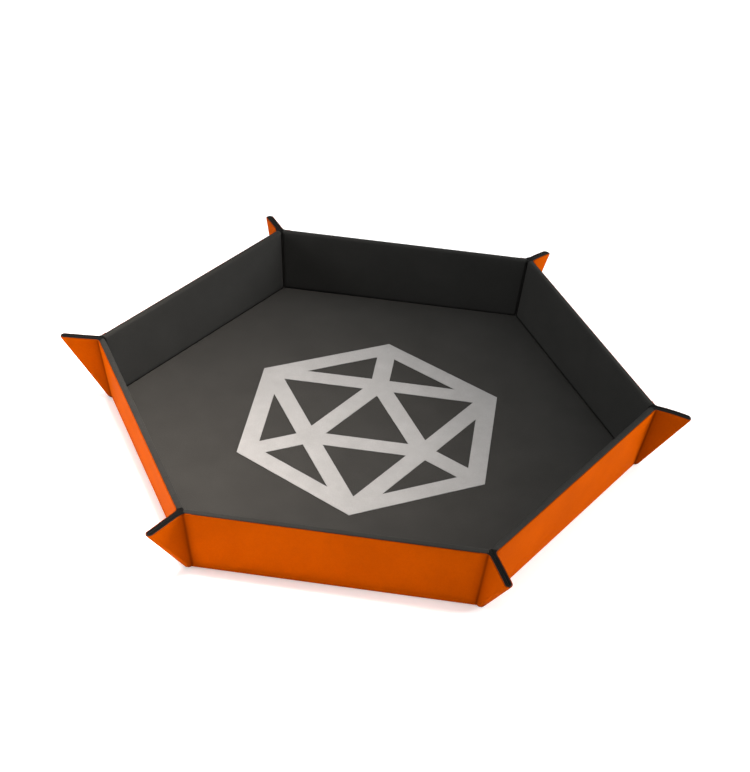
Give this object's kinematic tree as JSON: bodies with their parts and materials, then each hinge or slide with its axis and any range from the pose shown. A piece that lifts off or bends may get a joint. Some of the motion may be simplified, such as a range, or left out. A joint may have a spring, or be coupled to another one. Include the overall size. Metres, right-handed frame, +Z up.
{
  "type": "folding dice tray",
  "caption": "Hexagonal tray with a lined floor and hinged walls that stand up when pinched folds close on magnets at the corners, and fold flat when they open.",
  "frame": {"origin": "centre of the floor's underside, on the surface the tray rests on", "axes": "+Z up out of the tray, +X through two opposite corners, -Y towards the front wall"},
  "size_m": [0.2582, 0.2252, 0.0303],
  "materials": {
    "cover": "satin coated cover, orange",
    "board": "raw grey stiffening board",
    "lining": "dark microfibre lining",
    "print": "matt light grey ink in the lining",
    "magnet": "nickel-plated disc"
  },
  "bodies": {
    "floor": {"floor_cover": "cover", "floor_board": "board", "floor_lining": "lining", "floor_print": "print"},
    "wall_1": {"wall_1_cover": "cover", "wall_1_board": "board", "wall_1_lining": "lining"},
    "wall_2": {"wall_2_cover": "cover", "wall_2_board": "board", "wall_2_lining": "lining"},
    "wall_3": {"wall_3_cover": "cover", "wall_3_board": "board", "wall_3_lining": "lining"},
    "wall_4": {"wall_4_cover": "cover", "wall_4_board": "board", "wall_4_lining": "lining"},
    "wall_5": {"wall_5_cover": "cover", "wall_5_board": "board", "wall_5_lining": "lining"},
    "wall_6": {"wall_6_cover": "cover", "wall_6_board": "board", "wall_6_lining": "lining"},
    "ear_1l": {"ear_1l_cover": "cover", "ear_1l_lining": "lining", "ear_1l_magnet": "magnet"},
    "ear_1r": {"ear_1r_cover": "cover", "ear_1r_lining": "lining", "ear_1r_magnet": "magnet"},
    "ear_2l": {"ear_2l_cover": "cover", "ear_2l_lining": "lining", "ear_2l_magnet": "magnet"},
    "ear_2r": {"ear_2r_cover": "cover", "ear_2r_lining": "lining", "ear_2r_magnet": "magnet"},
    "ear_3l": {"ear_3l_cover": "cover", "ear_3l_lining": "lining", "ear_3l_magnet": "magnet"},
    "ear_3r": {"ear_3r_cover": "cover", "ear_3r_lining": "lining", "ear_3r_magnet": "magnet"},
    "ear_4l": {"ear_4l_cover": "cover", "ear_4l_lining": "lining", "ear_4l_magnet": "magnet"},
    "ear_4r": {"ear_4r_cover": "cover", "ear_4r_lining": "lining", "ear_4r_magnet": "magnet"},
    "ear_5l": {"ear_5l_cover": "cover", "ear_5l_lining": "lining", "ear_5l_magnet": "magnet"},
    "ear_5r": {"ear_5r_cover": "cover", "ear_5r_lining": "lining", "ear_5r_magnet": "magnet"},
    "ear_6l": {"ear_6l_cover": "cover", "ear_6l_lining": "lining", "ear_6l_magnet": "magnet"},
    "ear_6r": {"ear_6r_cover": "cover", "ear_6r_lining": "lining", "ear_6r_magnet": "magnet"}
  },
  "joints": [
    {"name": "wall_1_fold", "type": "hinge", "parent": "floor", "child": "wall_1", "pos_m": [0.08227, 0.0475, 0.0002], "axis": [-0.5, 0.866, 0], "range_deg": [0, 82]},
    {"name": "wall_2_fold", "type": "hinge", "parent": "floor", "child": "wall_2", "pos_m": [0, 0.095, 0.0002], "axis": [-1, 0, 0], "range_deg": [0, 82]},
    {"name": "wall_3_fold", "type": "hinge", "parent": "floor", "child": "wall_3", "pos_m": [-0.08227, 0.0475, 0.0002], "axis": [-0.5, -0.866, 0], "range_deg": [0, 82]},
    {"name": "wall_4_fold", "type": "hinge", "parent": "floor", "child": "wall_4", "pos_m": [-0.08227, -0.0475, 0.0002], "axis": [0.5, -0.866, 0], "range_deg": [0, 82]},
    {"name": "wall_5_fold", "type": "hinge", "parent": "floor", "child": "wall_5", "pos_m": [0, -0.095, 0.0002], "axis": [1, 0, 0], "range_deg": [0, 82]},
    {"name": "wall_6_fold", "type": "hinge", "parent": "floor", "child": "wall_6", "pos_m": [0.08227, -0.0475, 0.0002], "axis": [0.5, 0.866, 0], "range_deg": [0, 82]},
    {"name": "ear_1l_fold", "type": "hinge", "parent": "wall_1", "child": "ear_1l", "pos_m": [0.10886, 0.00145, 0.0002], "axis": [-0.1602, 0, -0.9871], "range_deg": [0, 60.4]},
    {"name": "ear_1r_fold", "type": "hinge", "parent": "wall_1", "child": "ear_1r", "pos_m": [0.05569, 0.09355, 0.0002], "axis": [0.0801, 0.1387, 0.9871], "range_deg": [0, 60.4]},
    {"name": "ear_2l_fold", "type": "hinge", "parent": "wall_2", "child": "ear_2l", "pos_m": [0.05317, 0.095, 0.0002], "axis": [-0.0801, -0.1387, -0.9871], "range_deg": [0, 60.4]},
    {"name": "ear_2r_fold", "type": "hinge", "parent": "wall_2", "child": "ear_2r", "pos_m": [-0.05317, 0.095, 0.0002], "axis": [-0.0801, 0.1387, 0.9871], "range_deg": [0, 60.4]},
    {"name": "ear_3l_fold", "type": "hinge", "parent": "wall_3", "child": "ear_3l", "pos_m": [-0.05569, 0.09355, 0.0002], "axis": [0.0801, -0.1387, -0.9871], "range_deg": [0, 60.4]},
    {"name": "ear_3r_fold", "type": "hinge", "parent": "wall_3", "child": "ear_3r", "pos_m": [-0.10886, 0.00145, 0.0002], "axis": [-0.1602, 0, 0.9871], "range_deg": [0, 60.4]},
    {"name": "ear_4l_fold", "type": "hinge", "parent": "wall_4", "child": "ear_4l", "pos_m": [-0.10886, -0.00145, 0.0002], "axis": [0.1602, 0, -0.9871], "range_deg": [0, 60.4]},
    {"name": "ear_4r_fold", "type": "hinge", "parent": "wall_4", "child": "ear_4r", "pos_m": [-0.05569, -0.09355, 0.0002], "axis": [-0.0801, -0.1387, 0.9871], "range_deg": [0, 60.4]},
    {"name": "ear_5l_fold", "type": "hinge", "parent": "wall_5", "child": "ear_5l", "pos_m": [-0.05317, -0.095, 0.0002], "axis": [0.0801, 0.1387, -0.9871], "range_deg": [0, 60.4]},
    {"name": "ear_5r_fold", "type": "hinge", "parent": "wall_5", "child": "ear_5r", "pos_m": [0.05317, -0.095, 0.0002], "axis": [0.0801, -0.1387, 0.9871], "range_deg": [0, 60.4]},
    {"name": "ear_6l_fold", "type": "hinge", "parent": "wall_6", "child": "ear_6l", "pos_m": [0.05569, -0.09355, 0.0002], "axis": [-0.0801, 0.1387, -0.9871], "range_deg": [0, 60.4]},
    {"name": "ear_6r_fold", "type": "hinge", "parent": "wall_6", "child": "ear_6r", "pos_m": [0.10886, -0.00145, 0.0002], "axis": [0.1602, 0, 0.9871], "range_deg": [0, 60.4]}
  ],
  "couplings": [
    {"joint": "wall_2_fold", "follows": "wall_1_fold", "ratio": 1},
    {"joint": "wall_3_fold", "follows": "wall_1_fold", "ratio": 1},
    {"joint": "wall_4_fold", "follows": "wall_1_fold", "ratio": 1},
    {"joint": "wall_5_fold", "follows": "wall_1_fold", "ratio": 1},
    {"joint": "wall_6_fold", "follows": "wall_1_fold", "ratio": 1},
    {"joint": "ear_1l_fold", "follows": "wall_1_fold", "ratio": 0.73563},
    {"joint": "ear_1r_fold", "follows": "wall_1_fold", "ratio": 0.73563},
    {"joint": "ear_2l_fold", "follows": "wall_1_fold", "ratio": 0.73563},
    {"joint": "ear_2r_fold", "follows": "wall_1_fold", "ratio": 0.73563},
    {"joint": "ear_3l_fold", "follows": "wall_1_fold", "ratio": 0.73563},
    {"joint": "ear_3r_fold", "follows": "wall_1_fold", "ratio": 0.73563},
    {"joint": "ear_4l_fold", "follows": "wall_1_fold", "ratio": 0.73563},
    {"joint": "ear_4r_fold", "follows": "wall_1_fold", "ratio": 0.73563},
    {"joint": "ear_5l_fold", "follows": "wall_1_fold", "ratio": 0.73563},
    {"joint": "ear_5r_fold", "follows": "wall_1_fold", "ratio": 0.73563},
    {"joint": "ear_6l_fold", "follows": "wall_1_fold", "ratio": 0.73563},
    {"joint": "ear_6r_fold", "follows": "wall_1_fold", "ratio": 0.73563}
  ]
}
